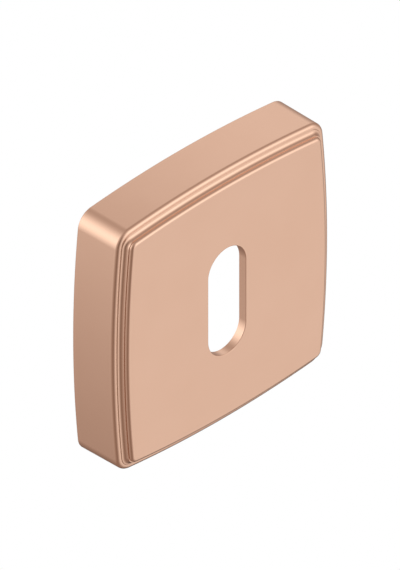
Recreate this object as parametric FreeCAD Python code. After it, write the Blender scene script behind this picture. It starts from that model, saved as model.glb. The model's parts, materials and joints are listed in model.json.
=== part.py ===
import FreeCAD, Part
import math
import os

# A keyhole escutcheon: one cast cover, hollow from behind, that covers the key hole of a door or drawer.
# Frame: millimetres, origin at the centre of the plane that lies on the door.
# X runs to the right, Z up and Y into the door, so the cover's face looks along -Y.

# Outline of the cover, seen from the front: a square with bowed sides and rounded corners
COVER_WIDTH = 52.0
COVER_HEIGHT = 52.0
SIDE_BOW = 1.6
PANEL_CORNER_RADIUS = 0.75

# Depth and walls
COVER_DEPTH = 11.0
FACE_THICKNESS = 1.65
WALL_THICKNESS = 1.65
WALL_DRAFT = 0.1
POCKET_FILLET = 1.0

# Moulding round the face, from the outer wall inwards
OUTER_ROUND_RADIUS = 0.76
OUTER_LEDGE = 0.18
STEP_BEVEL = 0.11
COVE_RADIUS = 0.78
INNER_LEDGE = 0.15
PANEL_ROUND_RADIUS = 0.64

# Key slot through the face
SLOT_WIDTH = 9.0
SLOT_HEIGHT = 21.8
SLOT_EDGE_RADIUS = 0.1

# Snap lugs inside the walls, which click over the fixing plate on the door
LUG_LENGTH = 7.0
LUG_REACH = 0.5
LUG_START = 1.2
LUG_LEAD_IN = 1.0
LUG_FLAT = 0.3
LUG_CATCH = 0.5

# Notch in the lower rim, where a blade lifts the cover off
NOTCH_WIDTH = 6.0
NOTCH_DEPTH = 0.8

# How far cutters run past a face, and how deep added pieces are rooted in their wall
CUT_MARGIN = 1.0
ROOT = 0.4

# How near an edge lies to a plane that it is looked for in
NEAR = 0.01

MOULDING_HEIGHT = OUTER_ROUND_RADIUS + STEP_BEVEL + COVE_RADIUS + PANEL_ROUND_RADIUS
MOULDING_WIDTH = MOULDING_HEIGHT + OUTER_LEDGE + INNER_LEDGE
PANEL_INSET = WALL_DRAFT + MOULDING_WIDTH
CORNER_RADIUS = PANEL_CORNER_RADIUS + PANEL_INSET
POCKET_DEPTH = COVER_DEPTH - FACE_THICKNESS


def point(x, forward, z):
    """A point by its distance forward of the door."""
    return FreeCAD.Vector(x, -forward, z)


def bow_radius(chord):
    """Radius of an arc that rises by SIDE_BOW over the chord."""
    return (chord * chord / 4 + SIDE_BOW * SIDE_BOW) / (2 * SIDE_BOW)


def corner_points(inset):
    """The upper right corner arc of the outline moved inwards: its two ends and its middle, as (x, z)."""
    side_radius = bow_radius(COVER_HEIGHT)
    top_radius = bow_radius(COVER_WIDTH)
    side_centre_x = COVER_WIDTH / 2 - side_radius
    top_centre_z = COVER_HEIGHT / 2 - top_radius
    reach_side = side_radius - CORNER_RADIUS
    reach_top = top_radius - CORNER_RADIUS
    span = math.hypot(side_centre_x, top_centre_z)
    along = (reach_side ** 2 - reach_top ** 2 + span ** 2) / (2 * span)
    across = math.sqrt(reach_side ** 2 - along ** 2)
    centre_x = side_centre_x + (along * -side_centre_x - across * top_centre_z) / span
    centre_z = (along * top_centre_z - across * side_centre_x) / span
    radius = CORNER_RADIUS - inset
    to_side = ((centre_x - side_centre_x) / reach_side, centre_z / reach_side)
    to_top = (centre_x / reach_top, (centre_z - top_centre_z) / reach_top)
    middle = (to_side[0] + to_top[0], to_side[1] + to_top[1])
    length = math.hypot(*middle)
    directions = (to_side, (middle[0] / length, middle[1] / length), to_top)
    return [(centre_x + radius * dx, centre_z + radius * dz) for dx, dz in directions]


def outline(inset, forward):
    """The closed outline moved inwards by the inset, as a wire of eight arcs, anticlockwise from the front."""
    side_end, corner_middle, top_end = corner_points(inset)
    side_middle = (COVER_WIDTH / 2 - inset, 0)
    top_middle = (0, COVER_HEIGHT / 2 - inset)
    arcs = [
        ((side_end, 1, -1), (side_middle, 1, 1), (side_end, 1, 1)),
        ((side_end, 1, 1), (corner_middle, 1, 1), (top_end, 1, 1)),
        ((top_end, 1, 1), (top_middle, 1, 1), (top_end, -1, 1)),
        ((top_end, -1, 1), (corner_middle, -1, 1), (side_end, -1, 1)),
        ((side_end, -1, 1), (side_middle, -1, 1), (side_end, -1, -1)),
        ((side_end, -1, -1), (corner_middle, -1, -1), (top_end, -1, -1)),
        ((top_end, -1, -1), (top_middle, 1, -1), (top_end, 1, -1)),
        ((top_end, 1, -1), (corner_middle, 1, -1), (side_end, 1, -1)),
    ]
    edges = []
    for arc in arcs:
        ends = [point(sx * xz[0], forward, sz * xz[1]) for xz, sx, sz in arc]
        edges.append(Part.Arc(*ends).toShape())
    return Part.Wire(edges)


def block(inset, back, front):
    """A solid with the cover's outline moved inwards, between two distances forward of the door."""
    return Part.Face(outline(inset, back)).extrude(point(0, front - back, 0))


class Section:
    """Draws a closed section across the rim, as lines and quarter rounds, in (inwards, forward)."""

    def __init__(self, start, outward):
        self.start = start
        self.outward = outward
        self.inset = 0.0
        self.forward = 0.0
        self.edges = []

    def at(self, inset, forward):
        return self.start - self.outward * inset + point(0, forward, 0)

    def line(self, inwards, rise):
        target = (self.inset + inwards, self.forward + rise)
        ends = (self.at(self.inset, self.forward), self.at(*target))
        self.edges.append(Part.LineSegment(*ends).toShape())
        self.inset, self.forward = target

    def quarter(self, radius, centre_inwards, centre_rise):
        """A quarter circle that runs inwards and forward by its radius, round the given centre."""
        first = self.at(self.inset, self.forward)
        centre = (self.inset + centre_inwards, self.forward + centre_rise)
        towards = (radius / 2 - centre_inwards, radius / 2 - centre_rise)
        scale = radius / math.hypot(*towards)
        middle = self.at(centre[0] + towards[0] * scale, centre[1] + towards[1] * scale)
        self.inset += radius
        self.forward += radius
        last = self.at(self.inset, self.forward)
        self.edges.append(Part.Arc(first, middle, last).toShape())

    def convex(self, radius):
        self.quarter(radius, radius, 0)

    def cove(self, radius):
        self.quarter(radius, 0, radius)

    def wire(self):
        return Part.Wire(self.edges)


def rim():
    """The rim with its moulding: one section carried round the outline."""
    path = outline(0, 0)
    side = path.Edges[0]
    start = side.valueAt(side.FirstParameter)
    outward = (start - side.Curve.Center).normalize()
    section = Section(start, outward)
    section.line(WALL_DRAFT, COVER_DEPTH - MOULDING_HEIGHT)
    section.convex(OUTER_ROUND_RADIUS)
    section.line(OUTER_LEDGE, 0)
    section.line(STEP_BEVEL, STEP_BEVEL)
    section.cove(COVE_RADIUS)
    section.line(INNER_LEDGE, 0)
    section.convex(PANEL_ROUND_RADIUS)
    section.line(0, -COVER_DEPTH)
    section.line(-PANEL_INSET, 0)
    return path.makePipeShell([section.wire()], True, False)


def pocket():
    """The hollow behind the face, with a rounded inner edge where the wall meets the face."""
    hollow = block(WALL_THICKNESS, -CUT_MARGIN, POCKET_DEPTH)
    far_edges = [edge for edge in hollow.Edges if edge.BoundBox.YMax < -POCKET_DEPTH + NEAR]
    return hollow.makeFillet(POCKET_FILLET, far_edges)


def key_slot():
    """An upright slot with round ends, through the face."""
    half_width = SLOT_WIDTH / 2
    straight = SLOT_HEIGHT / 2 - half_width
    near = POCKET_DEPTH - CUT_MARGIN
    right_low = point(half_width, near, -straight)
    right_high = point(half_width, near, straight)
    left_high = point(-half_width, near, straight)
    left_low = point(-half_width, near, -straight)
    edges = [
        Part.LineSegment(right_low, right_high),
        Part.Arc(right_high, point(0, near, straight + half_width), left_high),
        Part.LineSegment(left_high, left_low),
        Part.Arc(left_low, point(0, near, -straight - half_width), right_low),
    ]
    shape = Part.Face(Part.Wire([edge.toShape() for edge in edges]))
    return shape.extrude(point(0, FACE_THICKNESS + 2 * CUT_MARGIN, 0))


def ease_slot_edge(cover):
    """Breaks the sharp front edge of the key slot."""
    def on_mouth(edge):
        box = edge.BoundBox
        in_front = box.YMax < -COVER_DEPTH + NEAR
        return in_front and box.XMax < SLOT_WIDTH / 2 + NEAR and box.XMin > -SLOT_WIDTH / 2 - NEAR
    return cover.makeFillet(SLOT_EDGE_RADIUS, [edge for edge in cover.Edges if on_mouth(edge)])


def snap_lug(wall_distance, turn):
    """A lug on the inside of one wall, drawn at the right wall and turned about Y to its own."""
    wall = wall_distance - WALL_THICKNESS
    tip = wall - LUG_REACH
    root = wall + ROOT
    heights = [LUG_START, LUG_START + LUG_LEAD_IN, LUG_START + LUG_LEAD_IN + LUG_FLAT,
               LUG_START + LUG_LEAD_IN + LUG_FLAT + LUG_CATCH]
    corners = [(root, heights[0]), (wall, heights[0]), (tip, heights[1]), (tip, heights[2]),
               (wall, heights[3]), (root, heights[3])]
    low = -LUG_LENGTH / 2
    ends = [point(x, forward, low) for x, forward in corners]
    lug = Part.Face(Part.makePolygon(ends + ends[:1])).extrude(FreeCAD.Vector(0, 0, LUG_LENGTH))
    lug.rotate(FreeCAD.Vector(0, 0, 0), FreeCAD.Vector(0, 1, 0), turn)
    return lug


def snap_lugs():
    """One lug at the middle of each wall."""
    walls = [(COVER_WIDTH / 2, 0), (COVER_HEIGHT / 2, 90), (COVER_WIDTH / 2, 180), (COVER_HEIGHT / 2, 270)]
    return [snap_lug(distance, turn) for distance, turn in walls]


def lifting_notch():
    """A shallow gap through the lower wall, open towards the door."""
    length = WALL_THICKNESS + 2 * CUT_MARGIN
    lowest = -COVER_HEIGHT / 2 - CUT_MARGIN
    corner = point(-NOTCH_WIDTH / 2, NOTCH_DEPTH, lowest)
    return Part.makeBox(NOTCH_WIDTH, NOTCH_DEPTH + CUT_MARGIN, length, corner)


def escutcheon_cover():
    panel = block(PANEL_INSET, 0, COVER_DEPTH)
    cover = rim().fuse(panel).removeSplitter()
    cover = cover.cut(pocket()).cut(key_slot())
    cover = ease_slot_edge(cover.removeSplitter())
    cover = cover.multiFuse(snap_lugs())
    cover = cover.cut(lifting_notch()).removeSplitter()
    return cover.Solids[0] if len(cover.Solids) == 1 else cover


os.makedirs("parts", exist_ok=True)
shape = escutcheon_cover()
shape.exportStep("parts/escutcheon_cover.step")
box = shape.BoundBox
print("escutcheon_cover", shape.ShapeType, "valid", shape.isValid(), "solids", len(shape.Solids))
print("size", round(box.XLength, 3), round(box.YLength, 3), round(box.ZLength, 3))
print("volume", round(shape.Volume, 1), "faces", len(shape.Faces))
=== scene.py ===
"""A satin copper keyhole escutcheon on a plain white stage, laid out as an add-on and run as a script."""
import json
import math

import bmesh
import bpy
from mathutils import Matrix, Vector

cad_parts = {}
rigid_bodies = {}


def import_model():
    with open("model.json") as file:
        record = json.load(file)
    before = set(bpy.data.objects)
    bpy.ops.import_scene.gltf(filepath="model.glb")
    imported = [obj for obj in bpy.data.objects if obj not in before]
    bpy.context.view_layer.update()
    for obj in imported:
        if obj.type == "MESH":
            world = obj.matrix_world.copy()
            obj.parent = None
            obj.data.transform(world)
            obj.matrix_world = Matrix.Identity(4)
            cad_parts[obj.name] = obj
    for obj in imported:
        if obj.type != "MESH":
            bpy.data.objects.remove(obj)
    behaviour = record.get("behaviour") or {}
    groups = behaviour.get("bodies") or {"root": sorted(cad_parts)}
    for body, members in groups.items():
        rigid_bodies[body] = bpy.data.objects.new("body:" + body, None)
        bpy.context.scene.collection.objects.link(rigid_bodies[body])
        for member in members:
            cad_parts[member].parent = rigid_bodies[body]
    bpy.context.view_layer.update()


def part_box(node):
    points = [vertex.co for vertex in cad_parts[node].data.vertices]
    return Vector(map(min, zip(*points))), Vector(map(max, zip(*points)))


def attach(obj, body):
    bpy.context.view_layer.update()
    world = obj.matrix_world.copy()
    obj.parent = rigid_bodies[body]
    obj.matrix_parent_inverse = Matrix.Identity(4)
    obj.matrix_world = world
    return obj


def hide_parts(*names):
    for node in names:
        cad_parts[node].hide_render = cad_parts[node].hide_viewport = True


bl_info = {
    "name": "Keyhole escutcheon",
    "version": (1, 0, 0),
    "blender": (4, 5, 0),
    "location": "3D View > Sidebar > Escutcheon",
    "description": "Models a key hole cover with a stepped and coved edge in satin copper",
    "category": "Add Mesh",
}

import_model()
COVER_NODE = "escutcheon_cover"
BODY = "root"
NODE_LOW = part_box(COVER_NODE)[0]

MM = 0.001
QUARTER = math.pi / 2
WELD = 1e-7


class CoverSizes(bpy.types.PropertyGroup):
    """The cover's outline, depth and walls."""
    width: bpy.props.FloatProperty(
        name="Width", description="Across the middle of the cover", default=52.0 * MM, unit="LENGTH")
    height: bpy.props.FloatProperty(
        name="Height", description="Up the middle of the cover", default=52.0 * MM, unit="LENGTH")
    depth: bpy.props.FloatProperty(
        name="Depth", description="From the door to the face", default=11.0 * MM, unit="LENGTH")
    bow: bpy.props.FloatProperty(
        name="Side bow", description="How far the middle of a side stands past its corners",
        default=1.6 * MM, unit="LENGTH")
    panel_corner: bpy.props.FloatProperty(
        name="Panel corner", description="Corner radius of the raised flat face",
        default=0.75 * MM, unit="LENGTH")
    wall: bpy.props.FloatProperty(
        name="Wall", description="Thickness of the side walls", default=1.65 * MM, unit="LENGTH")
    face: bpy.props.FloatProperty(
        name="Face", description="Thickness of the face", default=1.65 * MM, unit="LENGTH")
    pocket_fillet: bpy.props.FloatProperty(
        name="Pocket fillet", description="Round between the walls and the back of the face",
        default=1.0 * MM, unit="LENGTH")
    draft: bpy.props.FloatProperty(
        name="Wall draft", description="How far the outer wall leans in between the door and the moulding",
        default=0.1 * MM, unit="LENGTH")
    rim_edge: bpy.props.FloatProperty(
        name="Rim edge", description="Small round on the edges that lie on the door",
        default=0.12 * MM, unit="LENGTH")


class MouldingSizes(bpy.types.PropertyGroup):
    """The moulding round the face, from the outer wall inwards."""
    outer_round: bpy.props.FloatProperty(
        name="Outer round", description="Radius of the outermost round", default=0.76 * MM, unit="LENGTH")
    outer_ledge: bpy.props.FloatProperty(
        name="Outer ledge", description="Flat inside the outermost round", default=0.18 * MM, unit="LENGTH")
    step_bevel: bpy.props.FloatProperty(
        name="Step bevel", description="Height and width of the low bevelled step",
        default=0.11 * MM, unit="LENGTH")
    cove: bpy.props.FloatProperty(
        name="Cove", description="Radius of the hollow curve", default=0.78 * MM, unit="LENGTH")
    inner_ledge: bpy.props.FloatProperty(
        name="Inner ledge", description="Flat between the cove and the panel",
        default=0.15 * MM, unit="LENGTH")
    panel_round: bpy.props.FloatProperty(
        name="Panel round", description="Radius of the panel's edge", default=0.64 * MM, unit="LENGTH")


class OpeningSizes(bpy.types.PropertyGroup):
    """The key slot, the snap lugs and the lifting notch."""
    slot_width: bpy.props.FloatProperty(
        name="Slot width", description="Across the key slot", default=9.0 * MM, unit="LENGTH")
    slot_height: bpy.props.FloatProperty(
        name="Slot height", description="Up the key slot, over its round ends",
        default=21.8 * MM, unit="LENGTH")
    slot_edge: bpy.props.FloatProperty(
        name="Slot edge", description="Round on the front edge of the key slot",
        default=0.1 * MM, unit="LENGTH")
    lug_length: bpy.props.FloatProperty(
        name="Lug length", description="Along the wall", default=7.0 * MM, unit="LENGTH")
    lug_reach: bpy.props.FloatProperty(
        name="Lug reach", description="Out of the wall", default=0.5 * MM, unit="LENGTH")
    lug_start: bpy.props.FloatProperty(
        name="Lug start", description="From the door to the lug", default=1.2 * MM, unit="LENGTH")
    lug_lead_in: bpy.props.FloatProperty(
        name="Lug lead-in", description="Depth of the slope that the plate slides over",
        default=1.0 * MM, unit="LENGTH")
    lug_flat: bpy.props.FloatProperty(
        name="Lug flat", description="Depth of the lug's tip", default=0.3 * MM, unit="LENGTH")
    lug_catch: bpy.props.FloatProperty(
        name="Lug catch", description="Depth of the slope that holds the plate",
        default=0.5 * MM, unit="LENGTH")
    notch_width: bpy.props.FloatProperty(
        name="Notch width", description="Along the lower rim", default=6.0 * MM, unit="LENGTH")
    notch_depth: bpy.props.FloatProperty(
        name="Notch depth", description="From the door into the rim", default=0.8 * MM, unit="LENGTH")


class FinishColours(bpy.types.PropertyGroup):
    """The satin copper finish."""
    copper: bpy.props.FloatVectorProperty(
        name="Copper", description="Colour of the clean satin copper", default=(0.76, 0.50, 0.38),
        subtype="COLOR", min=0.0, max=1.0)
    copper_deep: bpy.props.FloatVectorProperty(
        name="Deep copper", description="Colour of the slightly warmer drifts in the plating",
        default=(0.745, 0.485, 0.365), subtype="COLOR", min=0.0, max=1.0)
    roughness: bpy.props.FloatProperty(
        name="Roughness", description="Satin roughness of the face", default=0.2,
        min=0.0, max=1.0, subtype="FACTOR")
    background: bpy.props.FloatVectorProperty(
        name="Background", description="Colour behind the cover", default=(1.0, 1.0, 1.0),
        subtype="COLOR", min=0.0, max=1.0)


def deselect_objects():
    bpy.ops.object.select_all(action="DESELECT")


class Modeller:
    """A mesh in edit mode, drawn from single vertices by extruding and spinning, in metres."""

    def __init__(self, name):
        deselect_objects()
        bpy.ops.mesh.primitive_plane_add(size=MM, location=(0, 0, 0))
        self.piece = bpy.context.object
        self.piece.name = name
        self.piece.data.name = name
        bpy.ops.object.mode_set(mode="EDIT")
        bpy.ops.mesh.delete(type="VERT")
        self.tip = Vector((0, 0, 0))

    def start(self, place):
        """Begins a new line at one vertex."""
        bpy.ops.mesh.select_mode(type="VERT")
        bpy.ops.mesh.select_all(action="DESELECT")
        bpy.ops.mesh.primitive_plane_add(size=MM, location=(0, 0, 0))
        bpy.ops.mesh.merge(type="CENTER")
        bpy.ops.transform.translate(value=place)
        self.tip = Vector(place)

    def extrude(self, move):
        bpy.ops.mesh.extrude_region_move(TRANSFORM_OT_translate={"value": move})
        self.tip += Vector(move)

    def spin(self, centre, axis, angle, steps):
        """Carries what is selected round the centre. A positive angle follows the right-hand rule."""
        bpy.ops.mesh.spin(steps=steps, angle=-angle, center=centre, axis=axis)
        self.tip = Vector(centre) + Matrix.Rotation(angle, 3, axis) @ (self.tip - Vector(centre))

    def select_line(self):
        bpy.ops.mesh.select_linked()

    def close_flat(self, level):
        """Fills the flat between the two open loops that lie at this distance forward of the door."""
        bpy.ops.mesh.select_mode(type="EDGE")
        bpy.ops.mesh.select_all(action="DESELECT")
        mesh = bmesh.from_edit_mesh(self.piece.data)
        for edge in mesh.edges:
            at_level = all(abs(vertex.co.y + level) < WELD for vertex in edge.verts)
            edge.select = edge.is_boundary and at_level
        bmesh.update_edit_mesh(self.piece.data)
        bpy.ops.mesh.fill(use_beauty=True)

    def weld(self):
        bpy.ops.mesh.select_all(action="SELECT")
        bpy.ops.mesh.remove_doubles(threshold=WELD)

    def finish(self):
        bpy.ops.mesh.select_all(action="SELECT")
        bpy.ops.mesh.normals_make_consistent(inside=False)
        bpy.ops.object.mode_set(mode="OBJECT")
        return self.piece


class Section:
    """Draws a section across the right wall with a modeller: inwards is -X and forward is -Y."""

    def __init__(self, modeller, start):
        self.modeller = modeller
        modeller.start(start)

    def line(self, inwards, rise):
        self.modeller.extrude((-inwards, -rise, 0))

    def turn(self, centre_inwards, centre_rise, degrees):
        """An arc round a centre given from the section's tip. Positive turns from outwards to forward."""
        centre = self.modeller.tip + Vector((-centre_inwards, -centre_rise, 0))
        steps = round(ROUND_STEPS * abs(degrees) / 90)
        self.modeller.spin(centre, (0, 0, -1), math.radians(degrees), steps)

    def convex(self, radius):
        self.turn(radius, 0, 90)

    def cove(self, radius):
        self.turn(0, radius, -90)


ROUND_STEPS = 10
SIDE_STEP = math.radians(0.6)
CORNER_STEP = math.radians(4.0)
SLOT_END_STEPS = 40
CUT_MARGIN = 1.0 * MM
ROOT = 0.4 * MM


def bow_radius(chord, bow):
    return (chord * chord / 4 + bow * bow) / (2 * bow)


def moulding_height(m):
    return m.outer_round + m.step_bevel + m.cove + m.panel_round


def moulding_width(m):
    return moulding_height(m) + m.outer_ledge + m.inner_ledge


def outline_arcs(cover, corner_radius):
    """The centre, angle and steps of each arc of the outline, from the middle of the right side upwards."""
    side = bow_radius(cover.height, cover.bow)
    top = bow_radius(cover.width, cover.bow)
    side_x = cover.width / 2 - side
    top_z = cover.height / 2 - top
    reach_side = side - corner_radius
    reach_top = top - corner_radius
    span = math.hypot(side_x, top_z)
    along = (reach_side ** 2 - reach_top ** 2 + span ** 2) / (2 * span)
    across = math.sqrt(reach_side ** 2 - along ** 2)
    corner_x = side_x + (along * -side_x - across * top_z) / span
    corner_z = (along * top_z - across * side_x) / span
    side_angle = math.atan2(corner_z, corner_x - side_x)
    top_angle = math.atan2(corner_x, corner_z - top_z)
    corner = (QUARTER - side_angle - top_angle, CORNER_STEP)
    arcs = [
        ((side_x, 0), side_angle, SIDE_STEP), ((corner_x, corner_z), *corner),
        ((0, top_z), 2 * top_angle, SIDE_STEP), ((-corner_x, corner_z), *corner),
        ((-side_x, 0), 2 * side_angle, SIDE_STEP), ((-corner_x, -corner_z), *corner),
        ((0, -top_z), 2 * top_angle, SIDE_STEP), ((corner_x, -corner_z), *corner),
        ((side_x, 0), side_angle, SIDE_STEP),
    ]
    return [(Vector((x, 0, z)), angle, math.ceil(angle / step)) for (x, z), angle, step in arcs]


def draw_rim(modeller, cover, m):
    """The walls, moulding and pocket sides: one section spun round the arcs of the outline."""
    pocket_depth = cover.depth - cover.face
    inner = cover.width / 2 - cover.wall - cover.pocket_fillet
    section = Section(modeller, (inner, -pocket_depth, 0))
    section.turn(0, -cover.pocket_fillet, -90)
    section.line(0, cover.pocket_fillet + cover.rim_edge - pocket_depth)
    section.turn(-cover.rim_edge, 0, 90)
    section.line(2 * cover.rim_edge - cover.wall, 0)
    section.turn(0, cover.rim_edge, 90)
    section.line(cover.draft, cover.depth - moulding_height(m) - cover.rim_edge)
    section.convex(m.outer_round)
    section.line(m.outer_ledge, 0)
    section.line(m.step_bevel, m.step_bevel)
    section.cove(m.cove)
    section.line(m.inner_ledge, 0)
    section.convex(m.panel_round)
    modeller.select_line()
    for centre, angle, steps in outline_arcs(cover, cover.panel_corner + moulding_width(m) + cover.draft):
        modeller.spin(centre, (0, -1, 0), angle, steps)
    modeller.weld()


def draw_slot(modeller, cover, openings):
    """The wall of the key slot with its eased front edge, carried round the slot's outline."""
    half_width = openings.slot_width / 2
    straight = openings.slot_height / 2 - half_width
    section = Section(modeller, (half_width, cover.face - cover.depth, -straight))
    section.line(0, cover.face - openings.slot_edge)
    section.turn(-openings.slot_edge, 0, -90)
    modeller.select_line()
    for side in (1, -1):
        modeller.extrude((0, 0, side * 2 * straight))
        modeller.spin((0, 0, side * straight), (0, -1, 0), math.pi, SLOT_END_STEPS)
    modeller.weld()


def draw_cover(cover, moulding, openings):
    modeller = Modeller("cover_satin_copper")
    draw_rim(modeller, cover, moulding)
    draw_slot(modeller, cover, openings)
    modeller.close_flat(cover.depth)
    modeller.close_flat(cover.depth - cover.face)
    return modeller.finish()


def draw_lug(cover, openings):
    """A snap lug at the right wall, rooted in it."""
    wall = cover.width / 2 - cover.wall
    modeller = Modeller("snap_lug")
    section = Section(modeller, (wall + ROOT, -openings.lug_start, -openings.lug_length / 2))
    section.line(ROOT, 0)
    section.line(openings.lug_reach, openings.lug_lead_in)
    section.line(0, openings.lug_flat)
    section.line(-openings.lug_reach, openings.lug_catch)
    section.line(-ROOT, 0)
    modeller.select_line()
    bpy.ops.mesh.edge_face_add()
    modeller.extrude((0, 0, openings.lug_length))
    return modeller.finish()


def draw_notch(cover, openings):
    """The block that the lifting notch takes out of the lower rim."""
    half = openings.notch_width / 2
    modeller = Modeller("lifting_notch")
    modeller.start((-half, CUT_MARGIN, -cover.height / 2 - CUT_MARGIN))
    modeller.extrude((2 * half, 0, 0))
    modeller.extrude((0, -CUT_MARGIN - openings.notch_depth, 0))
    modeller.extrude((-2 * half, 0, 0))
    modeller.select_line()
    bpy.ops.mesh.edge_face_add()
    modeller.extrude((0, 0, cover.wall + 2 * CUT_MARGIN))
    return modeller.finish()


def make_active(piece):
    deselect_objects()
    piece.select_set(True)
    bpy.context.view_layer.objects.active = piece


def add_modifier(piece, kind, settings):
    """Adds a modifier to the piece, sets it and applies it."""
    make_active(piece)
    bpy.ops.object.modifier_add(type=kind)
    modifier = piece.modifiers[-1]
    for name, value in settings.items():
        setattr(modifier, name, value)
    bpy.ops.object.modifier_apply(modifier=modifier.name)


def combine(piece, tool, operation):
    """Joins a shape to the piece or takes it out of it, and removes the shape."""
    add_modifier(piece, "BOOLEAN", {"operation": operation, "object": tool, "solver": "EXACT"})
    mesh = tool.data
    bpy.data.objects.remove(tool)
    bpy.data.meshes.remove(mesh)


def turned_copy(piece, angle):
    """A copy turned about the Y axis through the cover's middle, with its own mesh."""
    make_active(piece)
    bpy.ops.object.duplicate(linked=False)
    copy = bpy.context.object
    bpy.ops.transform.rotate(value=angle, orient_axis="Y", center_override=(0, 0, 0))
    bpy.ops.object.transform_apply(location=True, rotation=True, scale=True)
    return copy


SMOOTH_ANGLE = math.radians(28)


def smooth(piece):
    """Smooth rounds with true flats beside them."""
    make_active(piece)
    bpy.ops.object.shade_smooth_by_angle(angle=SMOOTH_ANGLE)
    add_modifier(piece, "WEIGHTED_NORMAL", {"mode": "FACE_AREA", "weight": 50, "keep_sharp": True})


class Socket:
    """A number read from a node, which expressions turn into Math nodes."""

    def __init__(self, shader, output):
        self.shader = shader
        self.output = output

    def _math(self, operation, first, second=None):
        inputs = {0: first} if second is None else {0: first, 1: second}
        return self.shader.add("ShaderNodeMath", {"operation": operation}, inputs)

    def __add__(self, other):
        return self._math("ADD", self, other)

    def __radd__(self, other):
        return self._math("ADD", other, self)

    def __sub__(self, other):
        return self._math("SUBTRACT", self, other)

    def __rsub__(self, other):
        return self._math("SUBTRACT", other, self)

    def __mul__(self, other):
        return self._math("MULTIPLY", self, other)

    def __rmul__(self, other):
        return self._math("MULTIPLY", other, self)

    def exp(self):
        return self._math("EXPONENT", self)

    def clamp(self):
        return self.shader.add("ShaderNodeClamp", {}, {0: self})

    def at_least(self, lowest):
        return self._math("MAXIMUM", self, lowest)


class Shader:
    """A node tree that is built by one method."""

    def __init__(self, tree):
        self.tree = tree
        tree.nodes.clear()

    def add(self, kind, settings, inputs, output=0):
        """Adds a node, sets it, then gives its sockets values or links, and returns one output."""
        node = self.tree.nodes.new(kind)
        for name, value in settings.items():
            setattr(node, name, value)
        for key, value in inputs.items():
            if isinstance(value, Socket):
                self.tree.links.new(value.output, node.inputs[key])
            else:
                node.inputs[key].default_value = value
        return Socket(self, node.outputs[output]) if node.outputs else None

    def noise(self, place, scale, detail, roughness):
        inputs = {"Vector": place, "Scale": scale, "Detail": detail, "Roughness": roughness}
        return self.add("ShaderNodeTexNoise", {}, inputs)

    def mix(self, factor, first, second):
        """Mixes two colours, through the sockets that the Mix node has for them."""
        inputs = {0: factor, 6: first, 7: second}
        return self.add("ShaderNodeMix", {"data_type": "RGBA"}, inputs, output=2)


def opaque(colour):
    return (*colour, 1.0)


DRIFTS_PER_METRE = 90.0
DRIFT_START = 0.35
DRIFT_CONTRAST = 2.2
GRAINS_PER_METRE = 9000.0
SHEEN_CHANGE = 0.03
GRAIN_HEIGHT = 0.02 * MM
GRAIN_STRENGTH = 0.05


def satin_copper(finish):
    """Fine satin copper plating: a soft grain, faint drifts in tone and a slightly uneven sheen."""
    material = bpy.data.materials.new("satin_copper")
    material.use_nodes = True
    shader = Shader(material.node_tree)
    place = shader.add("ShaderNodeTexCoord", {}, {}, output="Object")
    drift = shader.noise(place, DRIFTS_PER_METRE, detail=3.0, roughness=0.55)
    grain = shader.noise(place, GRAINS_PER_METRE, detail=2.0, roughness=0.6)
    deepened = ((drift - DRIFT_START) * DRIFT_CONTRAST).clamp()
    colour = shader.mix(deepened, opaque(finish.copper), opaque(finish.copper_deep))
    roughness = finish.roughness + (drift - 0.5) * SHEEN_CHANGE + (grain - 0.5) * SHEEN_CHANGE
    bump = shader.add("ShaderNodeBump", {}, {
        "Strength": GRAIN_STRENGTH, "Distance": GRAIN_HEIGHT, "Height": grain})
    surface = shader.add("ShaderNodeBsdfPrincipled", {}, {
        "Base Color": colour, "Metallic": 1.0, "Roughness": roughness, "Normal": bump})
    shader.add("ShaderNodeOutputMaterial", {}, {"Surface": surface})
    return material


def white_floor(finish):
    """An evenly lit white studio floor."""
    material = bpy.data.materials.new("white_floor")
    material.use_nodes = True
    shader = Shader(material.node_tree)
    surface = shader.add("ShaderNodeBsdfPrincipled", {}, {
        "Base Color": opaque((0.0, 0.0, 0.0)), "Roughness": 1.0, "Specular IOR Level": 0.0,
        "Emission Color": opaque(finish.background), "Emission Strength": 1.0})
    shader.add("ShaderNodeOutputMaterial", {}, {"Surface": surface})
    return material


def towards(azimuth, elevation):
    """A direction by its compass angle from the right towards the back, and its height, in degrees."""
    a = math.radians(azimuth)
    e = math.radians(elevation)
    return Vector((math.cos(a) * math.cos(e), math.sin(a) * math.cos(e), math.sin(e)))


ROOM_LIGHT = 0.3
ROOM_TINT = (1.2, 0.9, 0.75)
LAMP_TINT = (0.98, 1.05, 1.05)


def soft_patch(shader, direction, azimuth, elevation, half_width, half_height):
    """A patch of the studio round the cover: 1 at its middle, fading out past its half width and height."""
    middle = towards(azimuth, elevation)
    sideways = towards(azimuth + 90, 0)
    upwards = middle.cross(sideways)

    def along(axis):
        settings = {"operation": "DOT_PRODUCT"}
        return shader.add("ShaderNodeVectorMath", settings, {0: direction, 1: axis}, output="Value")

    across = along(sideways / math.sin(math.radians(half_width)))
    upright = along(upwards / math.sin(math.radians(half_height)))
    return along(middle).at_least(0) * (-0.5 * (across * across + upright * upright)).exp()


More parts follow.
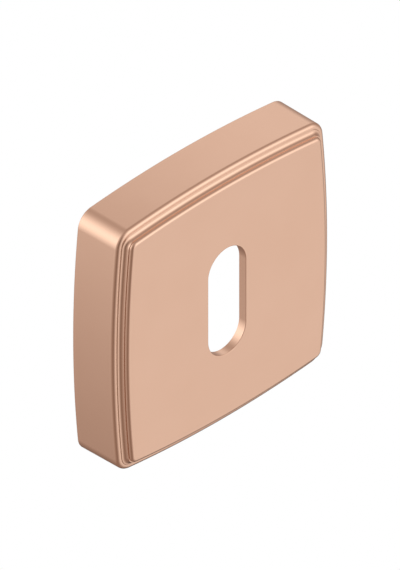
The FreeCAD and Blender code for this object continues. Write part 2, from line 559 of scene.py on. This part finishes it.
def studio_world(finish):
    """Softboxes and dark cards all round as seen in the metal, and a plain background behind."""
    world = bpy.data.worlds.new("studio")
    bpy.context.scene.world = world
    world.use_nodes = True
    shader = Shader(world.node_tree)
    direction = shader.add("ShaderNodeTexCoord", {}, {}, output="Generated")

    def patch(azimuth, elevation, half_width, half_height):
        return soft_patch(shader, direction, azimuth, elevation, half_width, half_height)

    front_softbox = patch(azimuth=-60, elevation=10, half_width=25, half_height=30)
    back_softbox = patch(azimuth=150, elevation=20, half_width=30, half_height=40)
    window = patch(azimuth=40, elevation=30, half_width=15, half_height=20)
    low_fill = patch(azimuth=-35, elevation=-40, half_width=30, half_height=15)
    left_card = patch(azimuth=-120, elevation=0, half_width=10, half_height=30)
    low_card = patch(azimuth=15, elevation=-55, half_width=20, half_height=15)
    lamps = 1.3 * front_softbox + 1.3 * back_softbox + 0.65 * window + 0.45 * low_fill
    unshaded = (1 - 0.5 * left_card) * (1 - 0.8 * low_card)
    room = shader.add("ShaderNodeBackground", {}, {
        "Color": opaque(ROOM_TINT), "Strength": unshaded * ROOM_LIGHT})
    lit = shader.add("ShaderNodeBackground", {}, {"Color": opaque(LAMP_TINT), "Strength": unshaded * lamps})
    glow = shader.add("ShaderNodeAddShader", {}, {0: room, 1: lit})
    plain = shader.add("ShaderNodeBackground", {}, {"Color": opaque(finish.background), "Strength": 1.0})
    seen = shader.add("ShaderNodeLightPath", {}, {}, output="Is Camera Ray")
    both = shader.add("ShaderNodeMixShader", {}, {0: seen, 1: glow, 2: plain})
    shader.add("ShaderNodeOutputWorld", {}, {"Surface": both})


CAMERA_AZIMUTH = math.radians(-45.0)
CAMERA_ELEVATION = math.atan(math.sqrt(0.5))
PHOTO_HEIGHT_PIXELS = 570
PIXELS_PER_METRE = 5902.0
PHOTO_CENTRE_RIGHT = 3.16 * MM
PHOTO_CENTRE_DOWN = 1.82 * MM
CAMERA_DISTANCE = 0.5


def isometric_camera():
    """The photograph's true isometric view."""
    data = bpy.data.cameras.new("isometric_camera")
    data.type = "ORTHO"
    data.ortho_scale = PHOTO_HEIGHT_PIXELS / PIXELS_PER_METRE
    camera = bpy.data.objects.new("isometric_camera", data)
    bpy.context.scene.collection.objects.link(camera)
    level = math.cos(CAMERA_ELEVATION)
    back = Vector((math.sin(CAMERA_AZIMUTH) * level, -math.cos(CAMERA_AZIMUTH) * level,
                   math.sin(CAMERA_ELEVATION)))
    turn = (-back).to_track_quat("-Z", "Y")
    right = turn @ Vector((1, 0, 0))
    up = turn @ Vector((0, 1, 0))
    camera.rotation_mode = "QUATERNION"
    camera.rotation_quaternion = turn
    camera.location = right * PHOTO_CENTRE_RIGHT - up * PHOTO_CENTRE_DOWN + back * CAMERA_DISTANCE
    bpy.context.scene.camera = camera


FLOOR_DROP = 0.12
FLOOR_SIZE = 6.0


def white_stage(finish):
    """A pale floor well below the cover, which hangs as on its door."""
    deselect_objects()
    bpy.ops.mesh.primitive_plane_add(size=FLOOR_SIZE, location=(0, 0, NODE_LOW.z - FLOOR_DROP))
    floor = bpy.context.object
    floor.name = "studio_floor"
    floor.data.materials.append(white_floor(finish))
    floor.visible_glossy = False
    floor.visible_diffuse = False


class ESCUTCHEON_OT_cover(bpy.types.Operator):
    """Model the hollow cover with its moulding, key slot, lugs and lifting notch, in satin copper"""
    bl_idname = "escutcheon.cover"
    bl_label = "Cover"

    def execute(self, context):
        scene = context.scene
        cover = scene.cover_sizes
        openings = scene.opening_sizes
        piece = draw_cover(cover, scene.moulding_sizes, openings)
        lug = draw_lug(cover, openings)
        for turn in (1, 2, 3):
            combine(piece, turned_copy(lug, turn * QUARTER), "UNION")
        combine(piece, lug, "UNION")
        combine(piece, draw_notch(cover, openings), "DIFFERENCE")
        smooth(piece)
        piece.data.materials.append(satin_copper(scene.finish_colours))
        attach(piece, BODY)
        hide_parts(COVER_NODE)
        return {"FINISHED"}


class ESCUTCHEON_OT_stage(bpy.types.Operator):
    """Set the plain floor, the studio light and the isometric camera"""
    bl_idname = "escutcheon.stage"
    bl_label = "Stage"

    def execute(self, context):
        finish = context.scene.finish_colours
        context.scene.view_settings.view_transform = "Standard"
        white_stage(finish)
        studio_world(finish)
        isometric_camera()
        return {"FINISHED"}


class VIEW3D_PT_escutcheon(bpy.types.Panel):
    """Lists the steps that make the scene"""
    bl_idname = "VIEW3D_PT_escutcheon"
    bl_label = "Escutcheon"
    bl_space_type = "VIEW_3D"
    bl_region_type = "UI"
    bl_category = "Escutcheon"

    def draw(self, context):
        column = self.layout.column()
        for operator in OPERATORS:
            column.operator(operator.bl_idname)


SETTINGS = {
    "cover_sizes": CoverSizes,
    "moulding_sizes": MouldingSizes,
    "opening_sizes": OpeningSizes,
    "finish_colours": FinishColours,
}
OPERATORS = (ESCUTCHEON_OT_cover, ESCUTCHEON_OT_stage)
CLASSES = (*SETTINGS.values(), *OPERATORS, VIEW3D_PT_escutcheon)


def register():
    for item in CLASSES:
        bpy.utils.register_class(item)
    for name, group in SETTINGS.items():
        setattr(bpy.types.Scene, name, bpy.props.PointerProperty(type=group))


def unregister():
    for name in SETTINGS:
        delattr(bpy.types.Scene, name)
    for item in reversed(CLASSES):
        bpy.utils.unregister_class(item)


def main():
    register()
    bpy.ops.escutcheon.cover()
    bpy.ops.escutcheon.stage()


if __name__ == "__main__":
    main()
